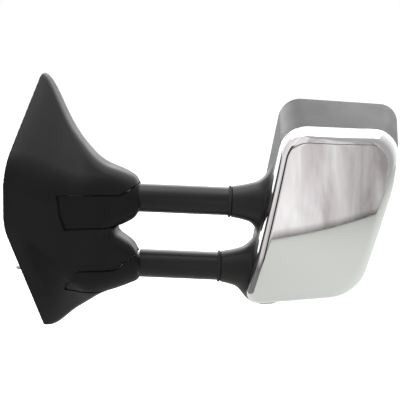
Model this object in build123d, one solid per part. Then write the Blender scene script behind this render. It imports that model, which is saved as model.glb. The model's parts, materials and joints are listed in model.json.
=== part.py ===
# Telescoping, folding towing mirror for the left side of a pickup.
# Millimetres. Row frame: origin at the centre of the stud circle on the door face (x = 0),
# +X outboard away from the door, +Y towards the rear of the vehicle, +Z up.
# Arm frame: origin on the fold axis midway between the tubes, +X along the tubes,
# +Y towards the mirror glass, +Z up. ARM places it in the row frame.
import os
from math import cos, radians, sin

from build123d import *

# Driving dimensions -----------------------------------------------------------------
SWEEP = 12.0            # the tubes point this many degrees rearward of square to the door
FOLD_REACH = 95.0       # door face to fold axis, along the tubes
AXIS_Y = -8.0           # where the tube mid-line meets the door face, from the stud centre
AXIS_Z = 18.0
WALL = 3.0              # moulded cover wall
SEAM = 0.6              # half of each gap between a folding fairing and the fixed cover

STUD_PCD = 96.0
STUD_R = 3.0            # M6
STUD_PRESS_R = 3.4      # shank pressed into the plate
STUD_ANGLES = (30, 150, 270)
STUD_OUT = 20.0         # reach of the studs beyond the door face
GASKET_T = 2.5
GASKET_INSET = WALL + 2.2   # the gasket edge clears the tapering cover wall
PLATE_T = 6.0
GROMMET_YZ = (34.0, -84.0)
GROMMET_R = 5.5         # cable passage

TUBE_R = 20.0
TUBE_WALL = 2.0
TUBE_Z = 48.0           # each tube axis above and below the arm mid-line
TUBE_START = (61.0, 65.0)
TUBE_END = 272.0
FIT = 0.05              # radial running clearance

SHAFT_R = 8.0
BUSH_R = 10.5
BARREL_R = 21.0
HUB_R = 20.0
BARREL_Z = (-49.0, 6.5)
BUSH_LENGTH = 18.5
UPPER_HUB_Z = (13.0, 44.0)
LOWER_HUB_Z = (-82.0, -55.0)
# Side views (x, z) of the webs between each hub and its tube, in the arm frame.
UPPER_WEB = [(0, 14), (40, 20), (58, 31), (58, 62), (42, 53), (19, 44), (0, 44)]
LOWER_WEB = [(0, -82), (40, -79), (62, -66), (62, -33), (40, -55), (0, -55)]

CAP_SPLIT = -30.0       # rear edge of the chrome cap in the arm frame
CROWN_R = 700.0         # radius of the domed front
CROWN_Y = -62.0
HEAD_MID = (316.0, 36.0)
BORDER_R = 13.0         # rounding of the dome into the sides
HEAD_REAR = 50.0
CAP_WALL = 2.4
HOUSING_WALL = 2.8

FRAME_Y = 22.8          # front of the plate that carries the glass drives
GLASS_PIVOT = (322.0, 38.5, 80.0)
SPOT_PIVOT = (298.0, 38.5, -63.0)
JACK_ARM = 30.0         # jackscrew offset from the glass pivot
CASE_SIDE = 74.0
CASE_CORNER = 20.0
CASE_WALL = 2.0
LID_Y = (33.0, 34.5)
MOTOR_Y = 29.7
GLASS_Y = (41.5, 44.6, 45.0, 47.0)   # back and front of backing, heater and glass
RING_R = (9.0, 12.5)    # gimbal ring
RING_HALF = 2.0
PIN_R = 2.0
EAR = (13.5, 17.0)      # pivot ears, distance from the pivot

SLEEVE_R = 24.0
UPPER_SLEEVE = (213.0, 252.0)
LOWER_SLEEVE = (202.0, 252.0)
UPPER_TUCK = (191.0, TUBE_Z)
LOWER_TUCK = (180.0, -TUBE_Z)
PLATE_Y = (-40.0, -36.0)     # carriage flange behind the housing front
PLUNGER_X = 249.0
PLUNGER_R = 3.45

PIVOT = (FOLD_REACH * cos(radians(SWEEP)), AXIS_Y + FOLD_REACH * sin(radians(SWEEP)))
ARM = Location((PIVOT[0], PIVOT[1], AXIS_Z), (0, 0, SWEEP))

# Stations of the base cover, measured from the door face.
BASE_STATIONS = (0, 10, 22, 36, 52, 70, 90, 114)
# How far the wide foot of the cover carries outboard: its sides, top, bottom and front.
FLARE_REACH = 58.0
CREST_REACH = 52.0
HEEL_REACH = 66.0
BROW_REACH = 62.0

# Arm cross-sections: x, lowest z, highest z, half depth, corner radius (arm frame).
UPPER_ARM = [(0, 14, 98, 34, 24), (24, 9, 94.5, 33, 26), (41, 11, 88.5, 31, 26), (52, 17, 81.5, 28.5, 25),
             (63, 26, 71, 24.5, 21)]
LOWER_ARM = [(0, -91, -2, 34, 24), (24, -89.5, -2, 33, 26), (42, -85, -6, 31, 26), (52, -79, -12.5, 28.5, 25),
             (66, -69.5, -26, 24.5, 20)]

# Head outlines in the arm frame: (x, z, corner radius) from top inboard, clockwise.
HEAD_FRONT = [(256, 160, 27), (414, 160, 30), (408, 92, 150), (371, -68, 58), (215.5, -89, 15)]
HEAD_BACK = [(257, 188, 31), (424, 184, 28), (416, 100, 150), (379, -94, 58), (211.5, -115, 20)]
HEAD_BOOK = (-45.0, 45.0)   # arm-frame y of the two outlines above

# Glass openings in the bezel: (x, z, corner radius), and the flare of the two collars.
MAIN_OPENING = [(269, 176, 20), (409.5, 172.5, 24), (403, 98, 150), (381.5, -17, 12), (238.5, -17, 12)]
SPOT_OPENING = [(237, -27, 10), (379.5, -27, 12), (367, -83, 44), (226, -101, 10)]
UPPER_FLARE = [(191, 22), (209, 26), (225, 31), (234, 38), (241, 50), (246, 66)]
LOWER_FLARE = [(180, 22), (190, 25.7), (203, 29), (213, 34), (221, 43), (227, 56)]
COVER_SCREWS = [(38, 168), (-48, 80), (45.5, -111)]
CARRIAGE_SCREWS = [(262, -40), (262, 50), (318, -40), (318, 50)]
FRAME_SCREWS = [(300, 170.5), (355, 170), (250, -93.5), (318, -84.5)]
# Parts of the drive frame cut away behind the glass corners: lowest and highest x, lowest and highest z.
FRAME_WINDOWS = [(200, 266, -24, 24), (383, 430, 144, 200)]

# Which space around the fold axis belongs to the folding arms: (radius, z) profiles.
UPPER_CORE = [(0, 10), (58, 10), (64.5, 30), (67, 57), (0, 57)]
UPPER_TIP = [(46, 2), (100, 2), (100, 84), (67.5, 79), (63.5, 71), (54, 64), (46, 57)]
LOWER_CORE = [(0, -88), (41, -88), (43, -76), (44, -52), (0, -52)]
LOWER_TIP = [(36, -87.5), (42.5, -87.5), (42.5, -130), (100, -130), (100, -10), (70.5, -15), (66, -25),
             (60, -33), (51, -41), (42.5, -51), (36, -51)]
TIP_HALF_ANGLE = 52.0
FOLD_RANGE = (-50.0, 75.0)


def box(x0, x1, y0, y1, z0, z1):
    return Pos((x0 + x1) / 2, (y0 + y1) / 2, (z0 + z1) / 2) * Box(x1 - x0, y1 - y0, z1 - z0)


def rod_x(r, x0, x1, y=0.0, z=0.0):
    return Pos((x0 + x1) / 2, y, z) * Rot(0, 90, 0) * Cylinder(r, x1 - x0)


def rod_y(r, y0, y1, x=0.0, z=0.0):
    return Pos(x, (y0 + y1) / 2, z) * Rot(90, 0, 0) * Cylinder(r, y1 - y0)


def rod_z(r, z0, z1, x=0.0, y=0.0):
    return Pos(x, y, (z0 + z1) / 2) * Cylinder(r, z1 - z0)


def inset_corners(corners, inset):
    """The same corners with every side moved inwards by the inset."""
    area = sum(a[0] * b[1] - b[0] * a[1] for a, b in zip(corners, corners[1:] + corners[:1]))
    turn = 1 if area > 0 else -1
    moved = []
    for i, (u, v, radius) in enumerate(corners):
        before = corners[i - 1]
        after = corners[(i + 1) % len(corners)]
        a = Vector(u - before[0], v - before[1]).normalized()
        b = Vector(after[0] - u, after[1] - v).normalized()
        na = Vector(-a.Y, a.X) * turn
        nb = Vector(-b.Y, b.X) * turn
        shift = (na + nb) * (inset / (1 + na.dot(nb)))
        moved.append((u + shift.X, v + shift.Y, max(radius - inset, 1.0)))
    return moved


def outline(corners, inset=0.0):
    """Closed face with straight sides and round corners, inset evenly all round."""
    corners = inset_corners(corners, inset)
    points = [(c[0], c[1]) for c in corners]
    radii = [c[2] for c in corners]
    return make_face(FilletPolyline(*points, radius=radii, close=True))


def hexagon(across, length):
    return extrude(RegularPolygon(across / 2, 6, major_radius=False), length)


# Base cover ---------------------------------------------------------------------------
def yz_plane(x):
    return Plane(origin=(x, 0, 0), x_dir=(0, 1, 0), z_dir=(1, 0, 0))


def base_section(x):
    """Six corners (y, z, radius): top front, top rear, bottom rear, bottom front, lower and upper brow."""
    foot = 1 / (1 + (x / FLARE_REACH) ** 2.2)
    brow = 8 - 104 / (1 + (x / BROW_REACH) ** 1.45)
    rear = 46 + 21 * foot
    top = 88 + 139 / (1 + (x / CREST_REACH) ** 1.9)
    bottom = -58 - 99 / (1 + (x / HEEL_REACH) ** 2.2)
    drop = 2 * (1 - foot)
    return [
        (2 + 41 * foot, top, 24 - 8 * foot),
        (rear, top - drop, 22 - 11 * foot),
        (rear, bottom + drop, 18 - 13 * foot),
        (-8 + 62 * foot, bottom, 24 - 12 * foot),
        (brow, -84 + 125 * foot, 28 + 57 * foot ** 2),
        (brow, 62 + 55 * foot, 26 + 59 * foot ** 2),
    ]


def base_main(inset):
    faces = [yz_plane(x) * outline(base_section(x), inset) for x in BASE_STATIONS]
    end = BASE_STATIONS[-1]
    for step, shrink in ((7, 2.0), (11, 8.0)):
        faces.append(yz_plane(end + step - inset) * outline(base_section(end), inset + shrink))
    return loft(faces)


def base_arm(stations, inset):
    faces = []
    for x, low, high, half, radius in stations:
        shape = RectangleRounded(2 * (half - inset), high - low - 2 * inset, radius - inset)
        end = inset if x == stations[-1][0] else 0
        faces.append(Plane(origin=(x - end, 0, (low + high) / 2), x_dir=(0, 1, 0), z_dir=(1, 0, 0)) * shape)
    return ARM * loft(faces)


def base_body(inset):
    return base_main(inset) + base_arm(UPPER_ARM, inset) + base_arm(LOWER_ARM, inset)


def turned(profile, start=0.0, sweep=360.0):
    """Solid of revolution about the fold axis, in the row frame."""
    face = Plane.XZ * make_face(Polyline(*profile, close=True))
    return ARM * (Rot(0, 0, start) * revolve(face, Axis.Z, sweep))


def folding_space(core, tip, grow, fixed):
    """Space of one folding arm. The fixed cover also clears all that the arm's tip sweeps."""
    mid_z = sum(p[1] for p in core) / len(core)
    wide = [(r + grow if r > 0 else 0, z + (grow if z > mid_z else -grow)) for r, z in core]
    low, high = (FOLD_RANGE if fixed else (0.0, 0.0))
    start = low - TIP_HALF_ANGLE - (1.0 if fixed else 0.0)
    span = high - low + 2 * TIP_HALF_ANGLE + (2.0 if fixed else 0.0)
    shift = [(r - grow, z + (grow if z > mid_z else -grow)) for r, z in tip]
    return turned(wide) + turned(shift, start, span)


def fixed_skin(shell):
    cover = shell - folding_space(UPPER_CORE, UPPER_TIP, SEAM, True)
    cover = cover - folding_space(LOWER_CORE, LOWER_TIP, SEAM, True)
    return cover


def fairings(shell, core, tip, tube_z, tube_start):
    skin = shell & folding_space(core, tip, -SEAM, False)
    skin = skin - ARM * rod_x(TUBE_R + 0.4, tube_start - 10, tube_start + 20, 0, tube_z)
    front = skin & (ARM * box(-90, 110, -90, -0.15, -150, 150))
    rear = skin & (ARM * box(-90, 110, 0.15, 90, -150, 150))
    return front, rear


def largest(shape):
    return max(shape.solids(), key=lambda piece: piece.volume)


def base_cover(shell, outer):
    cover = fixed_skin(shell)
    for y, z in COVER_SCREWS:
        boss = rod_x(5.0, PLATE_T + GASKET_T + 0.5, 70, y, z) & outer
        cover = cover + largest(boss)
        cover = cover - rod_x(2.02, 0, 26, y, z)
    return largest(cover)


# Base, fixed to the door ---------------------------------------------------------------
def footprint(inset):
    return yz_plane(0) * offset(outline(base_section(0), GASKET_INSET), amount=-inset)


def stud_spots():
    return [(STUD_PCD / 2 * cos(radians(a)), STUD_PCD / 2 * sin(radians(a))) for a in STUD_ANGLES]


def base_gasket():
    return extrude(yz_plane(0) * outline(base_section(0), GASKET_INSET), GASKET_T) - extrude(
        footprint(9.0), GASKET_T)


def base_plate():
    face = GASKET_T + PLATE_T
    x, y = PIVOT
    plate = Pos(GASKET_T, 0, 0) * extrude(footprint(6.0), PLATE_T)
    plate = plate + box(face - 1, x, y - 5, y + 5, -28, 22)
    for z0, z1 in ((16, 22), (-28, -22)):
        plate = plate + box(face - 1, x, y - 15, y + 15, z0, z1)
    for tall, low in ((82, 20), (-92, -26)):
        gusset = make_face(Polyline((face - 1, tall), (face - 1, low), (24, low), (24, low + (tall - low) * 0.1),
                                    close=True))
        plate = plate + extrude(Plane(origin=(0, y + 3, 0), x_dir=(1, 0, 0), z_dir=(0, -1, 0)) * gusset, 6)
    plate = plate + ARM * rod_z(BARREL_R, BARREL_Z[0], BARREL_Z[1])
    plate = plate - ARM * rod_z(BUSH_R, BARREL_Z[0] - 1, BARREL_Z[1] + 1)
    for sy, sz in stud_spots():
        plate = plate - rod_x(STUD_PRESS_R, 0, face + 1, sy, sz)
    for sy, sz in COVER_SCREWS:
        plate = plate - rod_x(2.2, 0, face + 1, sy, sz)
    return plate - rod_x(8.0, 0, face + 1, *GROMMET_YZ)


def mounting_studs():
    face = GASKET_T + PLATE_T
    studs = []
    for y, z in stud_spots():
        stud = rod_x(STUD_R, -STUD_OUT, GASKET_T, y, z) + rod_x(STUD_PRESS_R, GASKET_T, face, y, z)
        stud = stud + rod_x(7.0, face, face + 2.5, y, z)
        studs.append(chamfer(stud.edges().sort_by(Axis.X)[0], 0.8))
    return Compound(children=studs)


def harness_grommet():
    y, z = GROMMET_YZ
    face = GASKET_T + PLATE_T
    body = rod_x(10.5, 0.3, GASKET_T, y, z) + rod_x(7.95, GASKET_T, face, y, z)
    body = body + rod_x(10.5, face, 14, y, z)
    return body - rod_x(GROMMET_R, 0, 15, y, z)


def cover_screws():
    screws = []
    for y, z in COVER_SCREWS:
        screw = rod_x(4.2, 0.5, GASKET_T, y, z) + rod_x(2.0, GASKET_T, 25, y, z)
        screws.append(screw)
    return Compound(children=screws)


def ring_z(outer_r, inner_r, z0, z1):
    return rod_z(outer_r, z0, z1) - rod_z(inner_r, z0 - 1, z1 + 1)


def ring_x(outer_r, inner_r, x0, x1, z):
    return rod_x(outer_r, x0, x1, 0, z) - rod_x(inner_r, x0 - 1, x1 + 1, 0, z)


def barrel_bush(z0, z1):
    return ARM * ring_z(BUSH_R - 0.02, SHAFT_R + FIT, z0, z1)


def detent_ring(z0, z1, groove_z):
    ring = ring_z(20, 9, z0, z1)
    for i in range(6):
        ring = ring - Rot(0, 0, 60 * i) * Pos(15, 0, groove_z) * Box(16, 3, 1.6)
    return ARM * ring


# Folding arms --------------------------------------------------------------------------
def pivot_shaft():
    shaft = rod_z(SHAFT_R, LOWER_HUB_Z[0] - 1, 71) + rod_z(11, -86.5, LOWER_HUB_Z[0])
    return ARM * chamfer(shaft.edges().sort_by(Axis.Z)[-1], 1.0)


def knuckle(hub_z, web, tube_z, start):
    """Hub on the shaft, a web, and the spigot the tube is pressed on to."""
    body = rod_z(HUB_R, hub_z[0], hub_z[1])
    side = make_face(Polyline(*web, close=True))
    body = body + extrude(Plane(origin=(0, 13, 0), x_dir=(1, 0, 0), z_dir=(0, -1, 0)) * side, 26)
    body = body + rod_x(TUBE_R - TUBE_WALL, start - 2, start + 34, 0, tube_z)
    body = body + rod_x(TUBE_R - TUBE_WALL - 0.5, start - 3, start, 0, tube_z)
    return ARM * (body - rod_z(SHAFT_R, hub_z[0] - 1, hub_z[1] + 1))


def coil(radius, wire, z0, z1, turns):
    path = Helix(pitch=(z1 - z0 - 2 * wire) / turns, height=z1 - z0 - 2 * wire, radius=radius)
    section = Plane(origin=path @ 0, z_dir=path % 0) * Circle(wire)
    return Pos(0, 0, z0 + wire) * sweep(section, path)


def tube(start, z):
    return ARM * ring_x(TUBE_R, TUBE_R - TUBE_WALL, start, TUBE_END, z)


def tube_end_link():
    link = box(TUBE_END, TUBE_END + 4, -14, 14, -TUBE_Z, TUBE_Z)
    for z in (TUBE_Z, -TUBE_Z):
        link = link + rod_x(TUBE_R + 1.5, TUBE_END, TUBE_END + 4, 0, z)
        link = link + ring_x(TUBE_R - TUBE_WALL, 12, TUBE_END - 10, TUBE_END + 1, z)
    return ARM * (link - rod_x(8, TUBE_END - 1, TUBE_END + 5))


# Telescoping head ----------------------------------------------------------------------
def head_corners(y):
    share = (y - HEAD_BOOK[0]) / (HEAD_BOOK[1] - HEAD_BOOK[0])
    return [tuple(a + (b - a) * share for a, b in zip(front, back)) for front, back in zip(HEAD_FRONT, HEAD_BACK)]


def xz_plane(y):
    return Plane(origin=(0, y, 0), x_dir=(1, 0, 0), z_dir=(0, -1, 0))


def slab(corners, inset, y0, y1):
    """Flat piece between two depths with the given outline in x and z."""
    return extrude(xz_plane(y1) * outline(corners, inset), y1 - y0)


def head_body(inset):
    """Tapered head closed at the front by a dome whose border is rounded."""
    body = loft([xz_plane(y) * outline(head_corners(y), inset) for y in (-75, HEAD_REAR + 5)])
    centre = Vector(HEAD_MID[0], CROWN_Y + CROWN_R, HEAD_MID[1])
    body = body & Pos(*centre) * Sphere(CROWN_R - inset)
    rim = [e for e in body.edges() if all(
        abs((e.position_at(s) - centre).length - CROWN_R + inset) < 0.01 for s in (0, 0.5, 1))]
    return fillet(rim, BORDER_R - inset)


def behind(y):
    return box(150, 450, y, 100, -200, 250)


def collar(flare, z, thin):
    start, end = flare[0][0], flare[-1][0]
    curve = Spline(*[(x, r - thin) for x, r in flare])
    face = make_face(curve + Polyline((end, flare[-1][1] - thin), (end + 14, flare[-1][1] - thin), (end + 14, 0),
                                      (start, 0), (start, flare[0][1] - thin)))
    solid = Pos(0, 0, z) * revolve(face, Axis.X)
    solid = solid & box(150, 300, -41 + thin, 46 - thin, -150, 150)
    cap_room = head_body(-0.4 - thin) & box(150, 450, -90, CAP_SPLIT + 0.4 + thin, -200, 250)
    return solid - cap_room


def head_housing():
    outer = (head_body(0) & behind(CAP_SPLIT + 0.4)) + (head_body(CAP_WALL + 0.4) & box(
        150, 450, -90, CAP_SPLIT + 1, -200, 250))
    cavity = (head_body(HOUSING_WALL) & behind(CAP_SPLIT + 5)) + (head_body(CAP_WALL + 3.0) & box(
        150, 450, -90, CAP_SPLIT + 6, -200, 250))
    outer = outer + collar(UPPER_FLARE, TUBE_Z, 0) + collar(LOWER_FLARE, -TUBE_Z, 0)
    cavity = cavity + collar(UPPER_FLARE, TUBE_Z, 2.4) + collar(LOWER_FLARE, -TUBE_Z, 2.4)
    shell = outer & box(150, 450, -90, HEAD_REAR, -200, 250)
    shell = shell - cavity
    front = head_body(CAP_WALL + 1.5)
    for x, z in CARRIAGE_SCREWS:
        shell = shell + (rod_y(6, -60, PLATE_Y[0], x, z) & front)
        shell = shell - rod_y(2.5, -50, PLATE_Y[0] + 1, x, z)
    inside = head_body(HOUSING_WALL - 1)
    for x, z in FRAME_SCREWS:
        shell = shell + (rod_y(6.6, 10, FRAME_Y, x, z) & inside)
        shell = shell - rod_y(2.0, 12, FRAME_Y + 1, x, z)
    for z in (TUBE_Z, -TUBE_Z):
        shell = shell - rod_x(TUBE_R + 0.5, 170, 230, 0, z)
    return ARM * largest(shell)


def chrome_cap():
    cap = head_body(0) - head_body(CAP_WALL)
    return ARM * largest(cap & box(150, 450, -90, CAP_SPLIT, -200, 250))


def wiper(start, z):
    """Rubber lip at the mouth of a collar, with a spigot that reaches into it."""
    lip = ring_x(22.3, TUBE_R + FIT, start - 4.2, start - 0.8, z)
    return ARM * (lip + ring_x(TUBE_R + 0.45, TUBE_R + FIT, start - 1, start + 4, z))


def slide_carriage():
    body = rod_x(SLEEVE_R, *UPPER_SLEEVE, 0, TUBE_Z) + rod_x(SLEEVE_R, *LOWER_SLEEVE, 0, -TUBE_Z)
    body = body + box(246, 252, PLATE_Y[1] - 1, -18, -58, 58)
    body = body + box(246, 330, *PLATE_Y, -52, 60)
    body = body - box(272, 308, -45, -30, -32, 42)
    for z in (TUBE_Z, -TUBE_Z):
        body = body - rod_x(22.0, 190, 260, 0, z)
    for x, z in CARRIAGE_SCREWS:
        body = body - rod_y(2.7, -45, -30, x, z)
    return ARM * (body - rod_y(PLUNGER_R + FIT, -45, -18, PLUNGER_X, TUBE_Z))


def slide_bush(x0, z):
    return ARM * ring_x(21.98, TUBE_R + FIT, x0, x0 + 10, z)


def slide_plunger():
    nose = rod_y(PLUNGER_R, -28, -TUBE_R, PLUNGER_X, TUBE_Z)
    return ARM * (nose - rod_x(TUBE_R + FIT, 240, 256, 0, TUBE_Z))


def plunger_spring():
    return ARM * (Pos(PLUNGER_X, -28.1, TUBE_Z) * Rot(90, 0, 0) * coil(2.4, 0.5, 0, 5.8, 4))


def plunger_screw():
    screw = rod_y(PLUNGER_R, -39.5, -34, PLUNGER_X, TUBE_Z)
    return ARM * (screw - Pos(PLUNGER_X, -37.5, TUBE_Z) * Rot(90, 0, 0) * hexagon(3, 3))


def screws_y(spots, head_y, head_r, shank_r, length, head_h):
    """Screws along y whose heads seat at head_y and point forwards."""
    screws = []
    for x, z in spots:
        screw = rod_y(head_r, head_y, head_y + head_h, x, z) + rod_y(shank_r, head_y - length, head_y, x, z)
        screws.append(ARM * screw)
    return Compound(children=screws)


def glass_bezel():
    plate = slab(head_corners(47.5), HOUSING_WALL + 0.3, 46, 49.5)
    rim = slab(head_corners(47.5), HOUSING_WALL + 0.3, 30, 47) - slab(head_corners(47.5), HOUSING_WALL + 2.4, 29, 48)
    rim = rim & head_body(HOUSING_WALL + 0.3)
    body = (plate & head_body(HOUSING_WALL + 0.3)) + rim
    body = body - slab(MAIN_OPENING, 0, 40, 55) - slab(SPOT_OPENING, 0, 40, 55)
    return ARM * largest(body)


def actuator_frame():
    plate = slab(head_corners(FRAME_Y), HOUSING_WALL + 0.5, FRAME_Y, FRAME_Y + 2)
    for z in (TUBE_Z, -TUBE_Z):
        plate = plate - box(200, 256, 20, 30, z - SLEEVE_R - 2, z + SLEEVE_R + 2)
    for x0, x1, z0, z1 in FRAME_WINDOWS:
        plate = plate - box(x0, x1, 20, 30, z0, z1)
    for x, z in FRAME_SCREWS:
        plate = plate - rod_y(2.2, 20, 30, x, z)
    return ARM * plate


def pivot_ears(centre, foot_y):
    """Two ears that hold the vertical trunnions of a gimbal ring."""
    x, y, z = centre
    ears = None
    for side in (1, -1):
        mid = z + side * (EAR[0] + EAR[1]) / 2
        ear = box(x - 4, x + 4, foot_y, y, mid - 1.75, mid + 1.75)
        ear = ear + rod_z(4, mid - 1.75, mid + 1.75, x, y)
        ear = ear & box(x - 4, x + 4, foot_y, y + 3.3, mid - 1.75, mid + 1.75)
        ear = ear - rod_z(PIN_R + FIT, mid - 3, mid + 3, x, y)
        ears = ear if ears is None else ears + ear
    return ears


def square_slab(side, corner, y0, y1):
    """Round-cornered square block about the main glass pivot."""
    x, _, z = GLASS_PIVOT
    return Pos(x, y1, z) * Rot(90, 0, 0) * extrude(RectangleRounded(side, side, corner), y1 - y0)


def actuator_case():
    back = FRAME_Y + 2
    body = square_slab(CASE_SIDE, CASE_CORNER, back, LID_Y[0])
    hollow = square_slab(CASE_SIDE - 2 * CASE_WALL, CASE_CORNER - CASE_WALL, back + 1.6, LID_Y[0] + 1)
    return ARM * (body - hollow + pivot_ears(GLASS_PIVOT, back + 1))


def jack_spots():
    x, y, z = GLASS_PIVOT
    return {"pitch": (x, z - JACK_ARM), "yaw": (x + JACK_ARM, z)}


def actuator_lid():
    x, _, z = GLASS_PIVOT
    lid = square_slab(CASE_SIDE, CASE_CORNER, *LID_Y) - rod_y(20, 30, 36, x, z)
    for jx, jz in jack_spots().values():
        lid = lid - rod_y(3.2, 30, 36, jx, jz)
    return ARM * lid


def motor(x, z0, z1):
    can = rod_z(3.2, z0, z1, x, MOTOR_Y) + rod_z(1.0, z1, z1 + 4, x, MOTOR_Y)
    return ARM * can


def gimbal_ring(centre):
    x, y, z = centre
    ring = rod_y(RING_R[1], y - RING_HALF, y + RING_HALF, x, z)
    ring = ring + rod_x(PIN_R, x - EAR[1], x + EAR[1], y, z) + rod_z(PIN_R, z - EAR[1], z + EAR[1], x, y)
    return ARM * (ring - rod_y(RING_R[0], y - 9, y + 9, x, z))


def backing(opening, centre, cups):
    """Carrier plate with a round middle opening and ears for the level trunnions."""
    x, y, z = centre
    plate = slab(opening, 3.5, GLASS_Y[0], GLASS_Y[1]) - rod_y(20, 40, 46, x, z)
    for side in (1, -1):
        mid = x + side * (EAR[0] + EAR[1]) / 2
        plate = plate + box(min(mid, mid + side * 9), max(mid, mid + side * 9), GLASS_Y[0], GLASS_Y[1], z - 5, z + 5)
        ear = box(mid - 1.75, mid + 1.75, y - 3.3, GLASS_Y[1], z - 4, z + 4)
        plate = plate + ear
        plate = plate - rod_x(PIN_R + FIT, mid - 3, mid + 3, y, z)
    for cx, cz in cups:
        cup = rod_y(6.5, GLASS_Y[0] - 2.4, GLASS_Y[0] + 0.1, cx, cz) - rod_y(4.4, 30, GLASS_Y[0], cx, cz)
        plate = plate + cup
    return ARM * plate


def jackscrew(spot):
    x, z = spot
    tip = GLASS_Y[0] - 4.0
    screw = rod_y(2.5, 31, tip, x, z) + Pos(x, tip, z) * Sphere(3.0)
    return ARM * screw


def spot_bracket():
    x, y, z = SPOT_PIVOT
    foot = FRAME_Y + 2
    base = box(x - 22, x + 12, foot, foot + 2, z - 20, z + 20)
    return ARM * (base + pivot_ears(SPOT_PIVOT, foot + 1))


def convex_glass():
    """Spotter glass, domed on its outer face."""
    x, y, z = SPOT_PIVOT
    blank = slab(SPOT_OPENING, 2.5, GLASS_Y[1], GLASS_Y[3] + 3)
    return ARM * (blank & Pos(x, GLASS_Y[3] + 1.5 - 1000, z) * Sphere(1000))


def main():
    os.makedirs("parts", exist_ok=True)
    outer = base_body(0.0)
    shell = outer - base_body(WALL) - box(-10, 0.4, -200, 200, -300, 300)
    upper_front, upper_rear = fairings(shell, UPPER_CORE, UPPER_TIP, TUBE_Z, TUBE_START[0])
    lower_front, lower_rear = fairings(shell, LOWER_CORE, LOWER_TIP, -TUBE_Z, TUBE_START[1])
    jacks = jack_spots()
    parts = {
        "base_cover": base_cover(shell, outer),
        "base_gasket": base_gasket(),
        "base_plate": base_plate(),
        "mounting_studs": mounting_studs(),
        "harness_grommet": harness_grommet(),
        "cover_screws": cover_screws(),
        "barrel_bush_upper": barrel_bush(BARREL_Z[1] - BUSH_LENGTH, BARREL_Z[1]),
        "barrel_bush_lower": barrel_bush(BARREL_Z[0], BARREL_Z[0] + BUSH_LENGTH),
        "detent_ring_fixed": detent_ring(BARREL_Z[1], 9.0, 9.0),
        "detent_ring_moving": detent_ring(9.2, UPPER_HUB_Z[0], 9.2),
        "pivot_shaft": pivot_shaft(),
        "upper_knuckle": knuckle(UPPER_HUB_Z, UPPER_WEB, TUBE_Z, TUBE_START[0]),
        "lower_knuckle": knuckle(LOWER_HUB_Z, LOWER_WEB, -TUBE_Z, TUBE_START[1]),
        "detent_spring": ARM * coil(11.5, 1.5, UPPER_HUB_Z[1] + 0.1, 59.9, 3.5),
        "spring_washer": ARM * ring_z(14, SHAFT_R + FIT, 60, 62),
        "shaft_nut": ARM * (Pos(0, 0, 62.1) * hexagon(24, 7) - rod_z(SHAFT_R + 0.01, 60, 75)),
        "upper_tube": tube(TUBE_START[0], TUBE_Z),
        "lower_tube": tube(TUBE_START[1], -TUBE_Z),
        "tube_end_link": tube_end_link(),
        "upper_fairing_front": largest(upper_front),
        "upper_fairing_rear": largest(upper_rear),
        "lower_fairing_front": largest(lower_front),
        "lower_fairing_rear": largest(lower_rear),
        "head_housing": head_housing(),
        "chrome_cap": chrome_cap(),
        "upper_wiper": wiper(*UPPER_TUCK),
        "lower_wiper": wiper(*LOWER_TUCK),
        "slide_carriage": slide_carriage(),
        "upper_bush_inner": slide_bush(UPPER_SLEEVE[0], TUBE_Z),
        "upper_bush_outer": slide_bush(232, TUBE_Z),
        "lower_bush_inner": slide_bush(LOWER_SLEEVE[0], -TUBE_Z),
        "lower_bush_outer": slide_bush(232, -TUBE_Z),
        "slide_plunger": slide_plunger(),
        "plunger_spring": plunger_spring(),
        "plunger_screw": plunger_screw(),
        "carriage_screws": screws_y(CARRIAGE_SCREWS, PLATE_Y[1], 4.5, 2.5, 13, 3),
        "glass_bezel": glass_bezel(),
        "actuator_frame": actuator_frame(),
        "frame_screws": screws_y(FRAME_SCREWS, FRAME_Y + 2, 3.8, 2.0, 12, 2.4),
        "actuator_case": actuator_case(),
        "actuator_lid": actuator_lid(),
        "pitch_motor": motor(303, 48, 66),
        "yaw_motor": motor(345, 89, 107),
        "spot_bracket": spot_bracket(),
        "glass_gimbal": gimbal_ring(GLASS_PIVOT),
        "glass_backing": backing(MAIN_OPENING, GLASS_PIVOT, jacks.values()),
        "heater_pad": ARM * slab(MAIN_OPENING, 4.5, GLASS_Y[1], GLASS_Y[2]),
        "main_glass": ARM * slab(MAIN_OPENING, 2.5, GLASS_Y[2], GLASS_Y[3]),
        "pitch_jackscrew": jackscrew(jacks["pitch"]),
        "yaw_jackscrew": jackscrew(jacks["yaw"]),
        "spot_gimbal": gimbal_ring(SPOT_PIVOT),
        "spot_backing": backing(SPOT_OPENING, SPOT_PIVOT, []),
        "spot_glass": convex_glass(),
    }
    for name, part in parts.items():
        export_step(part, f"parts/{name}.step")


main()
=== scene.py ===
import json
from math import ceil, cos, pi, radians, sin

import bmesh
import bpy
import numpy as np
from mathutils import Matrix, Vector


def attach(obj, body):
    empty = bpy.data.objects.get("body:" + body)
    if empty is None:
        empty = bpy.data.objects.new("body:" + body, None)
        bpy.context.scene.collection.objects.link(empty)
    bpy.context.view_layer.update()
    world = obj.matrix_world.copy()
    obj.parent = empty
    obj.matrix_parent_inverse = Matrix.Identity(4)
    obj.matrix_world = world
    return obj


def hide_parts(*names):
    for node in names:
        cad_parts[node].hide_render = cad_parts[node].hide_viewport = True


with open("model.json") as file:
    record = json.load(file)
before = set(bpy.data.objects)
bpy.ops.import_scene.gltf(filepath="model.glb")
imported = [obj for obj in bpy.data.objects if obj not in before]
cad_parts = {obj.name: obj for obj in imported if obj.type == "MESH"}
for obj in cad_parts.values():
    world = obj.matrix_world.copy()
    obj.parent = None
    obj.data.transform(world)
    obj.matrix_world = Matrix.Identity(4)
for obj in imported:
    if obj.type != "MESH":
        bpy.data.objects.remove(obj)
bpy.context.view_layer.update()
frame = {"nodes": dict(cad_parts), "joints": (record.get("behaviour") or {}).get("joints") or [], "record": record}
NODES = frame["nodes"]
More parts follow.
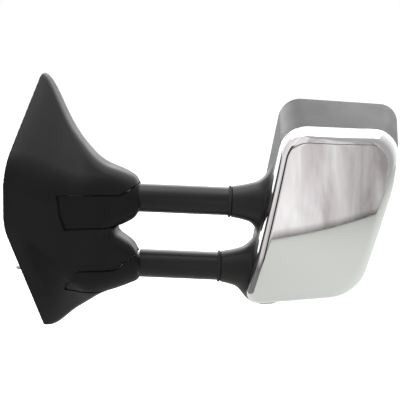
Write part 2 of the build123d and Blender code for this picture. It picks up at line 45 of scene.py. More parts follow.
JOINTS = {j["name"]: j for j in frame["joints"]}

# Row frame: the door face is x = 0, y to the rear of the vehicle, z up.
# Arm frame: origin on the fold axis, x along the tubes, y towards the glass, z up.
# Shapes are worked out in millimetres and made in metres.
SWEEP = radians(12.0)
PIVOT = Vector(JOINTS["fold"]["pos_m"])
PIVOT_MM = np.array(PIVOT) * 1000
ARM = Matrix.Translation(PIVOT) @ Matrix.Rotation(SWEEP, 4, "Z")
IN_ARM = Matrix.Translation(PIVOT_MM) @ Matrix.Rotation(SWEEP, 4, "Z")
MM = Matrix.Scale(0.001, 4)
TURN = np.array([[cos(SWEEP), -sin(SWEEP), 0], [sin(SWEEP), cos(SWEEP), 0], [0, 0, 1]])

TUBE_R = 20.0
TUBE_Z = 48.0
TUBE_GAP = 0.5          # between a tube and its collar
BASE_WALL = 3.0
SEAM = 0.4              # half of each gap between a fairing and the fixed cover
GROOVE = 1.25           # half width of the groove along each gap
GROOVE_DEPTH = 1.3
FOLD_LIMITS = (-50.0, 75.0)     # degrees
TIP_HALF_ANGLE = 52.0
LIP = 2.5               # thickness of the fairings' inner lips
HUB_R = 20.6            # room for the knuckles and tubes inside the fairings
CAP_SPLIT = -30.0       # rear edge of the chrome cap
CAP_GAP = 0.4
CAP_WALL = 2.4
HOUSING_WALL = 2.8
HEAD_REAR = 50.0
DOOR_GAP = 0.4          # the cover stops this far from the door face
SPLIT = 0.15            # half of the gap between front and rear fairings
COLLAR_MOUTH_R = 22.0
COLLAR_REACH = 75.0     # how far a collar runs on into the head
FINE, MIDDLING, COARSE = 1.6, 2.0, 3.0      # mesh steps
ON_SURFACE = 0.08       # distance within which a point counts as on the surface
FOLLOWS = 0.7           # how nearly a face must follow the field to be shaded by it


def arm(x, y, z):
    return ARM @ Vector((x, y, z))


# Materials ------------------------------------------------------------------------------
def new_material(name):
    mat = bpy.data.materials.new(name)
    mat.use_nodes = True
    tree = mat.node_tree
    return mat, tree, tree.nodes["Principled BSDF"]


def add(tree, kind, **values):
    node = tree.nodes.new(kind)
    for key, value in values.items():
        node.inputs[key].default_value = value
    return node


def noise(tree, scale, detail=2.0, rough=0.5):
    coords = tree.nodes.get("coords") or tree.nodes.new("ShaderNodeTexCoord")
    coords.name = "coords"
    n = add(tree, "ShaderNodeTexNoise", Scale=scale, Detail=detail, Roughness=rough)
    tree.links.new(coords.outputs["Object"], n.inputs["Vector"])
    return n


def ramp(tree, source, low, high, a=0.3, b=0.7):
    r = tree.nodes.new("ShaderNodeMapRange")
    r.inputs["From Min"].default_value = a
    r.inputs["From Max"].default_value = b
    r.inputs["To Min"].default_value = low
    r.inputs["To Max"].default_value = high
    tree.links.new(source, r.inputs["Value"])
    return r.outputs["Result"]


def tint(tree, source, low, high, a=0.3, b=0.7):
    r = tree.nodes.new("ShaderNodeValToRGB")
    r.color_ramp.elements[0].position = a
    r.color_ramp.elements[1].position = b
    r.color_ramp.elements[0].color = (*low, 1)
    r.color_ramp.elements[1].color = (*high, 1)
    tree.links.new(source, r.inputs["Fac"])
    return r.outputs["Color"]


def bump(tree, shader, layers):
    """Bump layers (height output, strength, distance in metres) stacked into the shader's normal."""
    last = None
    for height, strength, distance in layers:
        b = add(tree, "ShaderNodeBump", Strength=strength, Distance=distance)
        tree.links.new(height, b.inputs["Height"])
        if last is not None:
            tree.links.new(last.outputs["Normal"], b.inputs["Normal"])
        last = b
    tree.links.new(last.outputs["Normal"], shader.inputs["Normal"])


def grained_plastic(name, base, rough, grain, grain_depth, shine=0.42):
    mat, tree, shader = new_material(name)
    fine = noise(tree, grain, 3.0, 0.6)
    broad = noise(tree, 22.0, 3.0, 0.55)
    low = tuple(c * 0.86 for c in base)
    high = tuple(c * 1.18 for c in base)
    tree.links.new(tint(tree, broad.outputs["Fac"], low, high), shader.inputs["Base Color"])
    tree.links.new(ramp(tree, broad.outputs["Fac"], rough - 0.05, rough + 0.05), shader.inputs["Roughness"])
    shader.inputs["Specular IOR Level"].default_value = shine
    bump(tree, shader, [(fine.outputs["Fac"], 0.55, grain_depth), (broad.outputs["Fac"], 0.08, 0.0006)])
    return mat


def chrome_plate(name, base, rough):
    mat, tree, shader = new_material(name)
    wave = noise(tree, 9.0, 1.0, 0.4)
    haze = noise(tree, 140.0, 4.0, 0.6)
    shader.inputs["Metallic"].default_value = 1.0
    shader.inputs["Base Color"].default_value = (*base, 1)
    tree.links.new(ramp(tree, haze.outputs["Fac"], rough * 0.6, rough * 1.5), shader.inputs["Roughness"])
    bump(tree, shader, [(wave.outputs["Fac"], 0.12, 0.0015)])
    return mat


def metal(name, base, rough, grain, depth):
    mat, tree, shader = new_material(name)
    fine = noise(tree, grain, 4.0, 0.6)
    broad = noise(tree, 35.0, 3.0, 0.5)
    shader.inputs["Metallic"].default_value = 1.0
    low = tuple(c * 0.82 for c in base)
    high = tuple(min(c * 1.1, 1) for c in base)
    tree.links.new(tint(tree, broad.outputs["Fac"], low, high), shader.inputs["Base Color"])
    tree.links.new(ramp(tree, broad.outputs["Fac"], rough - 0.08, rough + 0.08), shader.inputs["Roughness"])
    bump(tree, shader, [(fine.outputs["Fac"], 0.5, depth)])
    return mat


MATERIALS = {
    "cover_black": grained_plastic("cover_grain", (0.0034, 0.0036, 0.0044), 0.44, 1500.0, 0.00018, 0.27),
    "fairing_black": grained_plastic("fairing_grain", (0.0026, 0.0027, 0.0031), 0.44, 1500.0, 0.00018, 0.25),
    "housing_black": grained_plastic("housing_grain", (0.0055, 0.0050, 0.0052), 0.40, 1500.0, 0.00018, 0.45),
    "bezel_black": grained_plastic("bezel_grain", (0.028, 0.028, 0.029), 0.46, 1800.0, 0.00012),
    "inner_plastic": grained_plastic("inner_plastic", (0.055, 0.055, 0.056), 0.55, 900.0, 0.0001),
    "bearing_plastic": grained_plastic("bearing_plastic", (0.62, 0.60, 0.53), 0.4, 900.0, 0.00005),
    "chrome": chrome_plate("chrome_plate", (0.90, 0.905, 0.90), 0.04),
    "tube_black": grained_plastic("tube_paint", (0.0040, 0.0038, 0.0040), 0.34, 900.0, 0.00006),
    "casting": metal("cast_alloy", (0.52, 0.53, 0.54), 0.5, 700.0, 0.0003),
    "steel": metal("plated_steel", (0.62, 0.62, 0.60), 0.3, 1200.0, 0.0001),
    "gasket_foam": grained_plastic("gasket_foam", (0.022, 0.022, 0.022), 0.85, 700.0, 0.0005),
    "rubber": grained_plastic("rubber", (0.018, 0.018, 0.018), 0.7, 900.0, 0.0001),
    "mirror": chrome_plate("silvered_glass", (0.86, 0.88, 0.89), 0.012),
    "heater": grained_plastic("heater_film", (0.34, 0.15, 0.05), 0.4, 500.0, 0.00004),
}


# Smooth solids -----------------------------------------------------------------------------
# A field gives the distance in millimetres outside (+) or inside (-) a shape, for an array of points.
def round_both(a, b, r):
    """Intersection of two fields with a rounded edge."""
    return np.minimum(np.maximum(a, b), -r) + np.hypot(np.maximum(a + r, 0), np.maximum(b + r, 0))


def round_any(a, b, r):
    """Union of two fields with a filleted join."""
    return -round_both(-a, -b, r)


def outline_field(u, v, corners):
    """Field of a convex outline whose corners (u, v, radius) may change from point to point."""
    count = len(corners)
    mid_u = sum(c[0] for c in corners) / count
    mid_v = sum(c[1] for c in corners) / count
    sides = []
    for i in range(count):
        (u0, v0, _), (u1, v1, _) = corners[i], corners[(i + 1) % count]
        length = np.hypot(u1 - u0, v1 - v0)
        du, dv = (u1 - u0) / length, (v1 - v0) / length
        flip = np.sign((u0 - mid_u) * dv - (v0 - mid_v) * du)
        sides.append((du, dv, dv * flip, -du * flip, u0, v0))
    field = np.full(np.broadcast(u, v).shape, -1e9)
    for du, dv, nu, nv, u0, v0 in sides:
        field = np.maximum(field, (u - u0) * nu + (v - v0) * nv)
    for i in range(count):
        a, b = sides[i - 1], sides[i]
        cu, cv, r = corners[i]
        reach = r / (1 + a[2] * b[2] + a[3] * b[3])
        du, dv = u - cu + (a[2] + b[2]) * reach, v - cv + (a[3] + b[3]) * reach
        inside = (du * a[0] + dv * a[1] > 0) & (du * b[0] + dv * b[1] < 0)
        field = np.where(inside, np.maximum(field, np.hypot(du, dv) - r), field)
    return field


def sampled(field, low, counts, step, block=8):
    """Field values on a grid, worked out in full only near the surface."""
    centres = [low[i] + step * (np.arange(counts[i] // block) * block + (block - 1) / 2) for i in range(3)]
    grid = np.stack(np.meshgrid(*centres, indexing="ij"), -1).reshape(-1, 3)
    rough = field(grid).reshape([len(c) for c in centres])
    values = rough.repeat(block, 0).repeat(block, 1).repeat(block, 2)
    near = np.abs(values) < block * step * 1.35
    values[near] = field(np.argwhere(near) * step + np.array(low))
    return values


def moved_on(field, points, step, passes=2):
    """Points pulled on to the surface where the field is zero."""
    for _ in range(passes):
        here = field(points)
        slope = np.stack([field(points + shift) - here for shift in np.eye(3) * 0.1], 1) / 0.1
        size = np.maximum((slope ** 2).sum(1), 0.05)
        move = -here[:, None] * slope / size[:, None]
        reach = np.linalg.norm(move, axis=1, keepdims=True)
        points = points + move * np.minimum(1, step * 0.5 / np.maximum(reach, 1e-9))
    return points


def evened(field, points, quads, step, rounds=4):
    """Points spread evenly over the surface by moving each towards the middle of its neighbours."""
    start, end = quads.ravel(), np.roll(quads, -1, 1).ravel()
    count = np.maximum(np.bincount(start, minlength=len(points)), 1)
    for _ in range(rounds):
        middle = np.stack([np.bincount(start, points[end, axis], len(points)) for axis in range(3)], 1)
        points = moved_on(field, (points + middle / count[:, None]) / 2, step, 1)
    return points


def field_mesh(name, field, low, high, step):
    """Closed mesh of quads, in millimetres, where the field is zero."""
    counts = [8 * ceil((high[i] - low[i]) / step / 8) for i in range(3)]
    values = sampled(field, low, counts, step)
    inside = values < 0
    cells = tuple(n - 1 for n in counts)
    total = np.zeros(cells + (3,))
    hits = np.zeros(cells)
    for axis in range(3):
        others = [a for a in range(3) if a != axis]
        for near, far in ((0, 0), (0, 1), (1, 0), (1, 1)):
            start = [slice(0, n) for n in cells]
            for other, shift in zip(others, (near, far)):
                start[other] = slice(shift, cells[other] + shift)
            end = list(start)
            end[axis] = slice(1, cells[axis] + 1)
            f0, f1 = values[tuple(start)], values[tuple(end)]
            cross = (f0 < 0) != (f1 < 0)
            total[..., axis] += np.where(cross, f0 / np.where(cross, f0 - f1, 1), 0)
            total[..., others[0]] += cross * near
            total[..., others[1]] += cross * far
            hits += cross
    used = hits > 0
    index = np.full(cells, -1)
    index[used] = np.arange(used.sum())
    points = (np.argwhere(used) + total[used] / hits[used][:, None]) * step + np.array(low)
    faces = []
    for axis in range(3):
        first, second = (axis + 1) % 3, (axis + 2) % 3
        start = [slice(1, n - 1) for n in counts]
        end = list(start)
        start[axis] = slice(0, counts[axis] - 1)
        end[axis] = slice(1, counts[axis])
        a, b = inside[tuple(start)], inside[tuple(end)]
        edge = np.argwhere(a != b)
        outward = a[tuple(edge.T)]
        quad = []
        for one, two in ((1, 1), (0, 1), (0, 0), (1, 0)):
            cell = edge.copy()
            cell[:, first] += 1 - one
            cell[:, second] += 1 - two
            quad.append(index[tuple(cell.T)])
        quad = np.stack(quad, 1)
        faces.append(np.where(outward[:, None], quad, quad[:, ::-1]))
    quads = np.concatenate(faces)
    points = evened(field, moved_on(field, points, step), quads, step)
    mesh = bpy.data.meshes.new(name)
    mesh.from_pydata(points.tolist(), [], quads.tolist())
    return mesh

# Cutting closed meshes ------------------------------------------------------------------------
def boolean(mesh, other, operation):
    """The first mesh cut by, kept inside or joined to the other. Both are used up."""
    made = [bpy.data.objects.new(m.name, m) for m in (mesh, other)]
    for obj in made:
        bpy.context.scene.collection.objects.link(obj)
    step = made[0].modifiers.new("step", "BOOLEAN")
    step.operation = operation
    step.solver = "MANIFOLD"
    step.object = made[1]
    graph = bpy.context.evaluated_depsgraph_get()
    graph.update()
    result = bpy.data.meshes.new_from_object(made[0].evaluated_get(graph))
    for obj in made:
        bpy.data.objects.remove(obj)
    return result


def cut(mesh, *others):
    for other in others:
        mesh = boolean(mesh, other, "DIFFERENCE")
    return mesh


def block(x0, x1, y0, y1, z0, z1, place=Matrix()):
    made = bmesh.new()
    bmesh.ops.create_cube(made, size=1)
    size = Matrix.Diagonal((x1 - x0, y1 - y0, z1 - z0, 1))
    middle = Matrix.Translation(((x0 + x1) / 2, (y0 + y1) / 2, (z0 + z1) / 2))
    bmesh.ops.transform(made, matrix=place @ middle @ size, verts=made.verts)
    return finished(made)


def rod(radius, x0, x1, z, place=Matrix()):
    """Round bar along x."""
    made = bmesh.new()
    bmesh.ops.create_cone(made, segments=96, radius1=radius, radius2=radius, depth=x1 - x0, cap_ends=True)
    turn = Matrix.Translation(((x0 + x1) / 2, 0, z)) @ Matrix.Rotation(pi / 2, 4, "Y")
    bmesh.ops.transform(made, matrix=place @ turn, verts=made.verts)
    return finished(made)


def finished(made):
    bmesh.ops.recalc_face_normals(made, faces=made.faces)
    mesh = bpy.data.meshes.new("cutter")
    made.to_mesh(mesh)
    made.free()
    return mesh


def turned(profile, start, sweep, place):
    """Solid of revolution about z of a closed (radius, z) profile."""
    steps = max(8, round(sweep / 2))
    made = bmesh.new()
    rings = []
    for i in range(steps + (sweep < 360)):
        angle = radians(start + sweep * i / steps)
        rings.append([made.verts.new((r * cos(angle), r * sin(angle), z)) for r, z in profile])
    count = len(profile)
    for i in range(steps):
        near, far = rings[i], rings[(i + 1) % len(rings)]
        for j in range(count):
            k = (j + 1) % count
            made.faces.new((near[j], far[j], far[k], near[k]))
    if sweep < 360:
        made.faces.new(rings[0])
        made.faces.new(rings[-1])
    bmesh.ops.remove_doubles(made, verts=made.verts, dist=1e-4)
    bmesh.ops.dissolve_degenerate(made, dist=1e-4, edges=made.edges)
    bmesh.ops.transform(made, matrix=place, verts=made.verts)
    return finished(made)


def slope_at(field, points):
    slope = np.stack([field(points + step) - field(points - step) for step in np.eye(3) * 0.2], 1)
    return slope / np.maximum(np.linalg.norm(slope, axis=1, keepdims=True), 1e-9)


def shade_by(mesh, field, place):
    """Exact normals where a face follows the field or its offset, flat ones on cut faces."""
    points = np.empty(len(mesh.vertices) * 3)
    mesh.vertices.foreach_get("co", points)
    points = points.reshape(-1, 3)
    corners = np.empty(len(mesh.loops), int)
    mesh.loops.foreach_get("vertex_index", corners)
    flat = np.empty(len(mesh.polygons) * 3)
    mesh.polygons.foreach_get("normal", flat)
    starts = np.empty(len(mesh.polygons), int)
    mesh.polygons.foreach_get("loop_start", starts)
    sizes = np.diff(np.append(starts, len(corners)))
    level = np.abs(field(points))[corners]
    outside = (np.maximum.reduceat(level, starts) < ON_SURFACE).repeat(sizes)[:, None]
    smooth = slope_at(field, points)[corners]
    flat = flat.reshape(-1, 3).repeat(sizes, 0)
    along = (flat * smooth).sum(1, keepdims=True)
    normals = np.where(outside | (along > FOLLOWS), smooth, np.where(along < -FOLLOWS, -smooth, flat))
    turn = np.array(place.to_3x3())
    normals = normals @ turn.T
    normals /= np.linalg.norm(normals, axis=1, keepdims=True)
    mesh.transform(place)
    mesh.normals_split_custom_set(normals.tolist())


def piece(name, mesh, field, place, body, node, slot):
    """Finished visible piece, standing for a CAD node."""
    mesh.name = name
    mesh.materials.clear()
    mesh.materials.append(MATERIALS[slot])
    mesh.shade_smooth()
    shade_by(mesh, field, place)
    obj = bpy.data.objects.new(name, mesh)
    bpy.context.scene.collection.objects.link(obj)
    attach(obj, body)
    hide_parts(node)
    return obj


# Base cover and fairings --------------------------------------------------------------------
def to_arm(p):
    return (p - PIVOT_MM) @ TURN


def smooth_step(x, start, end):
    t = np.clip((x - start) / (end - start), 0, 1)
    return t * t * (3 - 2 * t)


def base_corners(x):
    """Corners of the base's cross-section at x from the door, running on into the two arms."""
    x = np.maximum(x, 0)
    crest = 1 / (1 + (x / 52.0) ** 1.9)
    foot = 1 / (1 + (x / 58.0) ** 2.2)
    heel = 1 / (1 + (x / 66.0) ** 2.2)
    out = x - PIVOT_MM[0]
    half = 33.0 - 7.0 * smooth_step(out, 20, 66)
    middle = PIVOT_MM[1] + out * np.tan(SWEEP)
    tip = np.maximum(x - 118, 0) / 40
    top = 88 + 139 * crest - 3 * smooth_step(x, 60, 110) - 10 * tip ** 2
    bottom = -58 - 99 * heel + 9 * smooth_step(x, 70, 115) + 7 * tip ** 1.8
    drop = 2 * (1 - foot)
    wide = smooth_step(x, 70, 125)
    brow = (8 - 104 / (1 + (x / 62.0) ** 1.45)) * (1 - wide) + (middle - half) * wide
    rear = (46 + 21 * foot) * (1 - wide) + (middle + half) * wide
    root = [((2 + 41 * foot), top, 24 - 8 * foot), (rear, top - drop, 22 - 11 * foot),
            (rear, bottom + drop, 18 - 13 * foot), (-8 + 62 * foot, bottom, 24 - 12 * foot),
            (brow, -84 + 125 * foot, 68), (brow, 62 + 55 * foot, 70)]
    end = [(brow + 17, top, 24), (rear, top - drop, 20), (rear, bottom + drop, 20), (brow + 17, bottom, 24),
           (brow, bottom + 20, 38), (brow, top - 20, 38)]
    return [tuple(a * (1 - wide) + b * wide for a, b in zip(c, d)) for c, d in zip(root, end)]


def body_field(p):
    """Base cover and fairings before they are cut apart, in the row frame."""
    x, y, z = p.T
    at = [outline_field(y, z, base_corners(x + d)) for d in (-1.0, 0.0, 1.0)]
    outer = at[1] / np.hypot(1, (at[2] - at[0]) / 2)
    out, depth, up = to_arm(p).T
    outer = round_both(outer, out + 0.08 * depth - 66.2 + 0.025 * up, 10.0)
    # The notch between the two arms: its top, its bottom and its slanting end.
    roof = 8 + 17 * np.maximum(out - 28, 0) ** 1.5 / 36 ** 1.5
    floor = -1 - 24 * np.maximum(out - 24, 0) ** 1.4 / 40 ** 1.4
    notch = round_both(round_both(31.5 + 0.10 * depth - out, up - roof, 6.0), floor - up, 6.0)
    return round_both(round_both(outer, -notch, 20.0), -x, 0.5)


# Which space around the fold axis belongs to the folding arms: (radius, z) profiles.
UPPER_CORE = [(0, 10), (58, 10), (64.5, 30), (67, 57), (0, 57)]
UPPER_TIP = [(46, 2), (100, 2), (100, 84), (67.5, 79), (63.5, 71), (54, 64), (46, 57)]
LOWER_CORE = [(0, -88), (41, -88), (43, -76), (44, -52), (0, -52)]
LOWER_TIP = [(36, -87.5), (42.5, -87.5), (42.5, -130), (100, -130), (100, -10), (70.5, -15), (66, -25),
             (60, -33), (51, -41), (42.5, -51), (36, -51)]


def folding_space(core, tip, grow, fixed):
    """Space of one folding arm. The fixed cover also clears all that the arm's tip sweeps."""
    middle = sum(z for _, z in core) / len(core)
    wide = [(r + grow if r > 0 else 0, z + (grow if z > middle else -grow)) for r, z in core]
    ends = [(r - grow, z + (grow if z > middle else -grow)) for r, z in tip]
    low, high = (FOLD_LIMITS[0] - 1, FOLD_LIMITS[1] + 1) if fixed else (0, 0)
    half = TIP_HALF_ANGLE + min(grow + SEAM, 0)
    return turned(wide, 0, 360, IN_ARM), turned(ends, low - half, high - low + 2 * half, IN_ARM)


def moving_space(core, tip, grow):
    core_space, tip_space = folding_space(core, tip, grow, False)
    return boolean(core_space, tip_space, "UNION")


def fixed_skin(mesh, gap):
    for _, core, tip, _, _ in FOLDING_ARMS:
        mesh = cut(mesh, *folding_space(core, tip, gap, True))
    return mesh


def moving_skin(mesh, core, tip, gap):
    return boolean(mesh.copy(), moving_space(core, tip, -gap), "INTERSECT")


# Name, core, tip, tube height and the heights between which the pivot passes through the fairings.
FOLDING_ARMS = (("upper", UPPER_CORE, UPPER_TIP, TUBE_Z, (5, 75)),
                ("lower", LOWER_CORE, LOWER_TIP, -TUBE_Z, (-86.6, -25)))


def make_base():
    """Fixed cover, and four fairings that close round the arms with a lip along every seam."""
    low, high = (-6, -106, -170), (172, 84, 242)
    outer = field_mesh("outer", body_field, low, high, MIDDLING)
    below = field_mesh("below", lambda p: body_field(p) + GROOVE_DEPTH, low, high, 2.4)
    inner = field_mesh("inner", lambda p: body_field(p) + BASE_WALL, low, high, COARSE)
    cover = boolean(fixed_skin(outer.copy(), GROOVE), fixed_skin(below.copy(), SEAM), "UNION")
    cover = cut(cover, inner.copy(), block(-20, DOOR_GAP, -200, 200, -300, 300))
    piece("base_cover_skin", cover, body_field, MM, "base", "base_cover", "cover_black")
    for side, core, tip, z, (z0, z1) in FOLDING_ARMS:
        shell = boolean(moving_skin(outer, core, tip, GROOVE), moving_skin(below, core, tip, SEAM), "UNION")
        hollow = moving_skin(inner, core, tip, SEAM + LIP)
        hub = turned([(0, z0), (HUB_R, z0), (HUB_R, z1), (0, z1)], 0, 360, IN_ARM)
        shell = cut(shell, hollow, hub, rod(HUB_R, -21, 103, z, IN_ARM))
        for half, y0, y1 in (("front", -90, -SPLIT), ("rear", SPLIT, 90)):
            part = boolean(shell.copy(), block(-90, 110, y0, y1, -150, 150, IN_ARM), "INTERSECT")
            name = f"{side}_fairing_{half}"
            piece(f"{name}_skin", part, body_field, MM, "arms", name, "fairing_black")


# Head ---------------------------------------------------------------------------------------
# Head outlines in the arm frame: (x, z, corner radius) from top inboard, clockwise, at two depths.
HEAD_FRONT = [(256, 160, 40), (414, 160, 38), (408, 92, 150), (371, -68, 58), (215.5, -89, 15)]
HEAD_BACK = [(257, 188, 31), (424, 184, 28), (416, 100, 150), (379, -94, 58), (211.5, -115, 20)]
HEAD_BOOK = (-45.0, 45.0)
CROWN_R = 700.0
CROWN_MIDDLE = np.array((316.0, 638.0, 36.0))
BORDER_R = 13.0


def head_corners(y):
    share = (y - HEAD_BOOK[0]) / (HEAD_BOOK[1] - HEAD_BOOK[0])
    return [tuple(a + (b - a) * share for a, b in zip(front, back)) for front, back in zip(HEAD_FRONT, HEAD_BACK)]


def head_field(q):
    """Tapered head with a domed front whose border is rounded, in the arm frame."""
    x, y, z = q.T
    at = [outline_field(x, z, head_corners(y + d)) for d in (-1.0, 0.0, 1.0)]
    sides = at[1] / np.hypot(1, (at[2] - at[0]) / 2)
    return round_both(sides, np.linalg.norm(q - CROWN_MIDDLE, axis=1) - CROWN_R, BORDER_R)


def collar_field(q, z0, start, flare, curve):
    """Trumpet round a tube, a little flatter than round where it widens."""
    x, y, z = q.T
    along = np.clip(x - start, 0, 60)
    tall = COLLAR_MOUTH_R + flare * along + curve * along ** 2
    deep = (COLLAR_MOUTH_R + tall) / 2
    side = (np.hypot(y * tall / deep, z - z0) - tall) / np.hypot(1, flare + 2 * curve * along)
    return round_both(round_both(side, start - x, 1.6), x - start - COLLAR_REACH, 1.0)


def housing_field(q):
    """Head and collars, with a fillet that dies away towards the chrome cap."""
    fillet = 4 + 15 * smooth_step(q[:, 1], -30, -6)
    upper = collar_field(q, TUBE_Z, 191, 0.12, 0.0034)
    lower = collar_field(q, -TUBE_Z, 180, 0.16, 0.0036)
    return round_any(head_field(q), np.minimum(upper, lower), fillet)


def ended(field, rear, wall=0.0):
    """Field of the part of a shape in front of y = rear, with its skin moved in by a wall."""
    return lambda q: np.maximum(field(q) + wall, q[:, 1] - rear)


def make_head():
    """Open-backed housing with its collars, and the chrome cap over the front."""
    low, high = (176, -70, -128), (432, 72, 200)
    outer = field_mesh("outer", ended(housing_field, HEAD_REAR + 6), low, high, MIDDLING)
    inner = field_mesh("inner", ended(housing_field, HEAD_REAR + 12, HOUSING_WALL), low, high, COARSE)
    housing = boolean(outer, block(150, 450, CAP_SPLIT + CAP_GAP, HEAD_REAR, -200, 250), "INTERSECT")
    bore = TUBE_R + TUBE_GAP
    housing = cut(housing, inner, rod(bore, 160, 250, TUBE_Z), rod(bore, 160, 250, -TUBE_Z))
    piece("housing_skin", housing, housing_field, ARM @ MM, "head", "head_housing", "housing_black")
    low, high = (200, -70, -120), (432, -10, 190)
    outer = field_mesh("outer", ended(head_field, CAP_SPLIT + 6), low, high, FINE)
    inner = field_mesh("inner", ended(head_field, CAP_SPLIT + 12, CAP_WALL), low, high, COARSE)
    cap = boolean(outer, block(150, 450, -90, CAP_SPLIT, -200, 250), "INTERSECT")
    piece("chrome_cap_skin", cut(cap, inner), head_field, ARM @ MM, "head", "chrome_cap", "chrome")


for part in frame["record"]["subparts"]:
    node = NODES[part["node"]]
    node.data.materials.clear()
    node.data.materials.append(MATERIALS[part["material_slot"]])

make_base()
make_head()

# Stage, lights, camera --------------------------------------------------------------------
TARGET = arm(0.147, 0.0, 0.048)
ELEVATION = radians(15.0)
ROLL = radians(2.4)
DISTANCE = 1.4
forward = Matrix.Rotation(SWEEP, 3, "Z") @ Vector((0, cos(ELEVATION), -sin(ELEVATION)))
camera = bpy.data.objects.new("camera", bpy.data.cameras.new("camera"))
bpy.context.scene.collection.objects.link(camera)
camera.data.lens = 90.0
camera.data.sensor_width = 36.0
look = forward.to_track_quat("-Z", "Y").to_matrix().to_4x4()
camera.matrix_world = Matrix.Translation(TARGET - forward * DISTANCE) @ look @ Matrix.Rotation(ROLL, 4, "Z")
bpy.context.scene.camera = camera


def plane(name, corners, material, hide=False):
    mesh = bpy.data.meshes.new(name)
    mesh.from_pydata([tuple(c) for c in corners], [], [(0, 1, 2, 3)])
    obj = bpy.data.objects.new(name, mesh)
    bpy.context.scene.collection.objects.link(obj)
    mesh.materials.append(material)
    if hide:
        obj.visible_camera = False
        obj.visible_shadow = False
    return obj


def matt(name, colour, rough=0.8):
    mat, _, shader = new_material(name)
    shader.inputs["Base Color"].default_value = (*colour, 1)
    shader.inputs["Roughness"].default_value = rough
    shader.inputs["Specular IOR Level"].default_value = 0.2
    return mat


FLOOR_Z = -0.26
WALL_Y = (-0.10, -2.08)     # the drape stands at an angle: left end nearer
floor_mat = matt("stage_floor", (0.90, 0.90, 0.90))
floor_mat.node_tree.nodes["Principled BSDF"].inputs["Emission Color"].default_value = (1, 1, 1, 1)
floor_mat.node_tree.nodes["Principled BSDF"].inputs["Emission Strength"].default_value = 0.35
floor = plane("floor", [arm(x, y, FLOOR_Z) for x, y in ((-5, -5), (5, -5), (5, 5), (-5, 5))], floor_mat)
floor.visible_glossy = False
floor.visible_diffuse = False
floor.visible_shadow = False
LOW = FLOOR_Z - 0.002
plane("lower_floor", [arm(-0.1, -3, LOW), arm(3, -3, LOW), arm(3, 0.6, LOW), arm(-0.1, 0.6, LOW)],
      matt("stage_lower", (0.52, 0.54, 0.515)), hide=True)
# Painted shade: the floor on the door side of the base is made dark and hidden from the camera, so the base's
# lower faces and the tubes' undersides pick up less light.
plane("painted_shade_floor", [arm(-3, -3, LOW), arm(-0.1, -3, LOW), arm(-0.1, 0.6, LOW), arm(-3, 0.6, LOW)],
      matt("stage_painted_shade", (0.12, 0.12, 0.12)), hide=True)

# The drape glows in place of a cloth lit by lamps. It is hidden from the camera, and its colour carries painted
# light and shade.
drape_mat, tree, shader = new_material("stage_drape")
tree.nodes.remove(shader)
glow = tree.nodes.new("ShaderNodeEmission")
folds = noise(tree, 1.0, 4.0, 0.62)
folds.inputs["Distortion"].default_value = 0.9
mapping = tree.nodes.new("ShaderNodeMapping")
mapping.inputs["Rotation"].default_value = (0.0, 0.55, 0.6)
mapping.inputs["Scale"].default_value = (3.4, 3.4, 0.8)
tree.links.new(tree.nodes["coords"].outputs["Object"], mapping.inputs["Vector"])
tree.links.new(mapping.outputs["Vector"], folds.inputs["Vector"])
# Cloth colour with painted fold shading: lighter and darker streaks where folds would catch or lose the light.
cloth_and_fold_shade = tint(tree, folds.outputs["Fac"], (0.56, 0.50, 0.51), (1.0, 0.97, 0.98), 0.38, 0.66)
height = tree.nodes.new("ShaderNodeSeparateXYZ")
tree.links.new(tree.nodes["coords"].outputs["Object"], height.inputs["Vector"])
# Painted contact shadow: a dark band along the foot of the drape, just above the floor.
above_hem_shadow = ramp(tree, height.outputs["Z"], 0, 1, FLOOR_Z + 0.01, FLOOR_Z + 0.075)
painted_hem_shadow = tint(tree, above_hem_shadow, (0.12, 0.105, 0.09), (1, 1, 1), 0.0, 1.0)
shade = tree.nodes.new("ShaderNodeVectorMath")
shade.operation = "MULTIPLY"
tree.links.new(cloth_and_fold_shade, shade.inputs[0])
tree.links.new(painted_hem_shadow, shade.inputs[1])
# Painted shade: the glow dims to 0.58 between x = 0.62 m and 1.0 m, and stays dimmed beyond.
side = tree.nodes.new("ShaderNodeVectorMath")
side.operation = "SCALE"
tree.links.new(shade.outputs["Vector"], side.inputs[0])
tree.links.new(ramp(tree, height.outputs["X"], 1.0, 0.58, 0.62, 1.0), side.inputs["Scale"])
tree.links.new(side.outputs["Vector"], glow.inputs["Color"])
tree.links.new(glow.outputs["Emission"], tree.nodes["Material Output"].inputs["Surface"])
plane("drape", [arm(-0.6, WALL_Y[0], FLOOR_Z), arm(1.7, WALL_Y[1], FLOOR_Z), arm(1.7, WALL_Y[1], 1.5),
                arm(-0.6, WALL_Y[0], 1.5)], drape_mat, hide=True)
plane("flag", [arm(0.0, -0.56, FLOOR_Z), arm(-0.12, -0.44, FLOOR_Z), arm(-0.12, -0.44, 0.5), arm(0.0, -0.56, 0.5)],
      matt("stage_flag", (0.02, 0.02, 0.02)), hide=True)
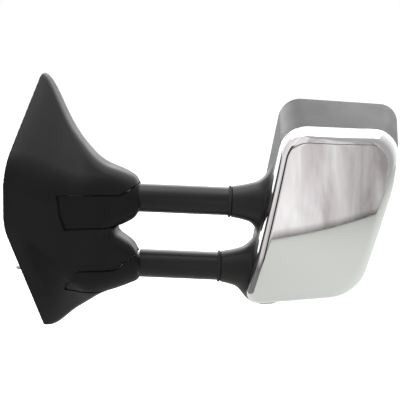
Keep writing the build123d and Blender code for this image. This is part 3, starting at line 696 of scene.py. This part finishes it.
plane("top_flag", [arm(0.05, -0.5, 0.31), arm(0.65, -0.62, 0.33), arm(0.65, -0.62, 0.41), arm(0.05, -0.5, 0.39)],
      matt("stage_top_flag", (0.10, 0.10, 0.08)), hide=True)


def area(name, where, to, size, power, colour=(1, 1, 1)):
    light = bpy.data.lights.new(name, "AREA")
    light.shape = "RECTANGLE"
    light.size, light.size_y = size
    light.energy = power
    light.color = colour
    obj = bpy.data.objects.new(name, light)
    obj.matrix_world = Matrix.Translation(where) @ (to - where).to_track_quat("-Z", "Y").to_matrix().to_4x4()
    bpy.context.scene.collection.objects.link(obj)
    return obj


centre = arm(0.15, 0, 0.04)
area("top_soft", arm(0.15, 0.1, 1.4), centre, (2.0, 1.2), 14)
area("back_soft", arm(0.2, 1.5, 0.75), centre, (2.4, 1.2), 26)

# A white surround, brighter behind the object than in front of it.
bpy.context.scene.view_settings.view_transform = "Standard"
world = bpy.data.worlds.new("world")
bpy.context.scene.world = world
world.use_nodes = True
tree = world.node_tree
way = tree.nodes.new("ShaderNodeTexCoord")
rearward = tree.nodes.new("ShaderNodeVectorMath")
rearward.operation = "DOT_PRODUCT"
rearward.inputs[1].default_value = Matrix.Rotation(SWEEP, 3, "Z") @ Vector((0, 1, 0))
tree.links.new(way.outputs["Generated"], rearward.inputs[0])
upward = tree.nodes.new("ShaderNodeSeparateXYZ")
tree.links.new(way.outputs["Generated"], upward.inputs["Vector"])
level = tree.nodes.new("ShaderNodeMath")
level.operation = "MULTIPLY"
tree.links.new(ramp(tree, rearward.outputs["Value"], 0.40, 1.3, -0.5, 0.6), level.inputs[0])
tree.links.new(ramp(tree, upward.outputs["Z"], 0.3, 1.0, -0.5, -0.25), level.inputs[1])
seen = tree.nodes.new("ShaderNodeLightPath")
white = tree.nodes.new("ShaderNodeMix")
white.inputs["B"].default_value = 1.0
tree.links.new(seen.outputs["Is Camera Ray"], white.inputs["Factor"])
tree.links.new(level.outputs["Value"], white.inputs["A"])
tree.links.new(white.outputs["Result"], tree.nodes["Background"].inputs["Strength"])
tree.nodes["Background"].inputs["Color"].default_value = (1, 1, 1, 1)
